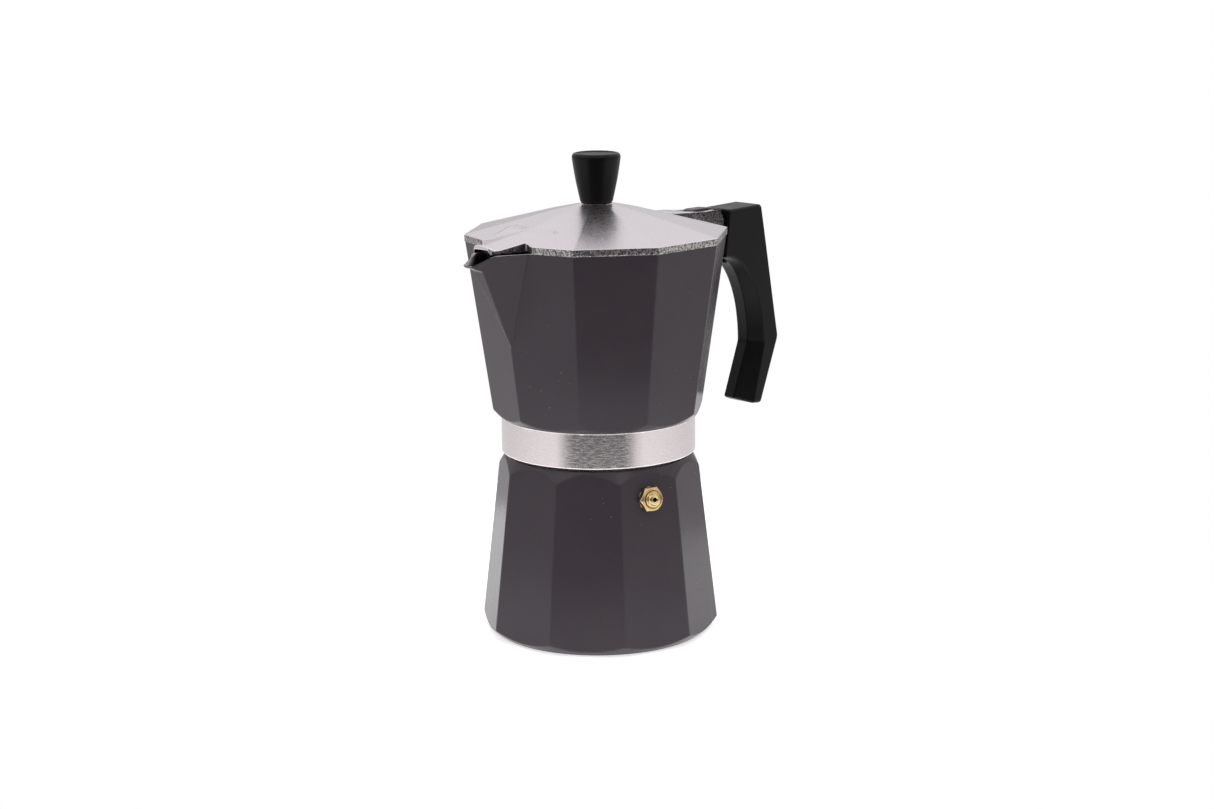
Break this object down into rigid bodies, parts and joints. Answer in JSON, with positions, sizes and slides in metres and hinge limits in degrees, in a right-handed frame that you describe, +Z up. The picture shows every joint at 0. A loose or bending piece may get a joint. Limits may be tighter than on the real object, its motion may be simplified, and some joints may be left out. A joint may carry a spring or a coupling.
{
  "type": "moka pot",
  "caption": "Stove-top moka pot: ten-sided boiler with safety valve, funnel basket, screw-on collector with spout, hinged lid with knob, and side handle.",
  "frame": {"origin": "centre of the flat base that the pot stands on", "axes": "+Z up the pot's axis, +X from the axis towards the handle, -X towards the spout"},
  "size_m": [0.1825, 0.1082, 0.2082],
  "materials": {
    "grey_paint": "satin",
    "bare_aluminium": "satin",
    "black_plastic": "satin",
    "brass": "polished",
    "steel": "bright",
    "silicone": "matt"
  },
  "bodies": {
    "boiler": {"boiler": "grey_paint", "safety_valve_body": "brass", "safety_valve_washer": "bare_aluminium", "safety_valve_spring": "steel", "safety_valve_plug": "brass"},
    "valve_ball": {"safety_valve_ball": "steel"},
    "funnel": {"funnel_cup": "bare_aluminium", "funnel_stem": "bare_aluminium", "basket_filter": "bare_aluminium"},
    "seal_ring": {"gasket": "silicone"},
    "upper_filter": {"filter_plate": "bare_aluminium"},
    "collector": {"collector": "grey_paint", "coffee_column": "bare_aluminium", "handle": "black_plastic", "handle_screw": "steel", "handle_washer": "steel", "hinge_pin": "steel"},
    "lid": {"lid": "bare_aluminium", "lid_knob": "black_plastic", "knob_insert": "brass", "knob_screw": "steel", "knob_washer": "steel"}
  },
  "joints": [
    {"name": "funnel_lift", "type": "slide", "parent": "boiler", "child": "funnel", "axis": [0, 0, 1], "range_m": [0, 0.09]},
    {"name": "collector_lift", "type": "slide", "parent": "funnel", "child": "seal_ring", "axis": [0, 0, 1], "range_m": [0, 0.06]},
    {"name": "collector_rise", "type": "slide", "parent": "seal_ring", "child": "upper_filter", "axis": [0, 0, 1], "range_m": [0, 0.0076]},
    {"name": "collector_turn", "type": "hinge", "parent": "upper_filter", "child": "collector", "pos_m": [0, 0, 0.085], "axis": [0, 0, 1], "range_deg": [0, 900]},
    {"name": "lid_hinge", "type": "hinge", "parent": "collector", "child": "lid", "pos_m": [0.067, 0, 0.1716], "axis": [0, 1, 0], "range_deg": [0, 105]},
    {"name": "valve_ball_lift", "type": "slide", "parent": "boiler", "child": "valve_ball", "axis": [-0.253, -0.9611, 0.1111], "range_m": [0, 0.0008], "stiffness_N_per_m": 4000, "springref_m": -0.0016, "deforming": ["safety_valve_spring"]}
  ],
  "couplings": [
    {"joint": "collector_rise", "follows": "collector_turn", "m_per_rad": 0.00047746}
  ]
}
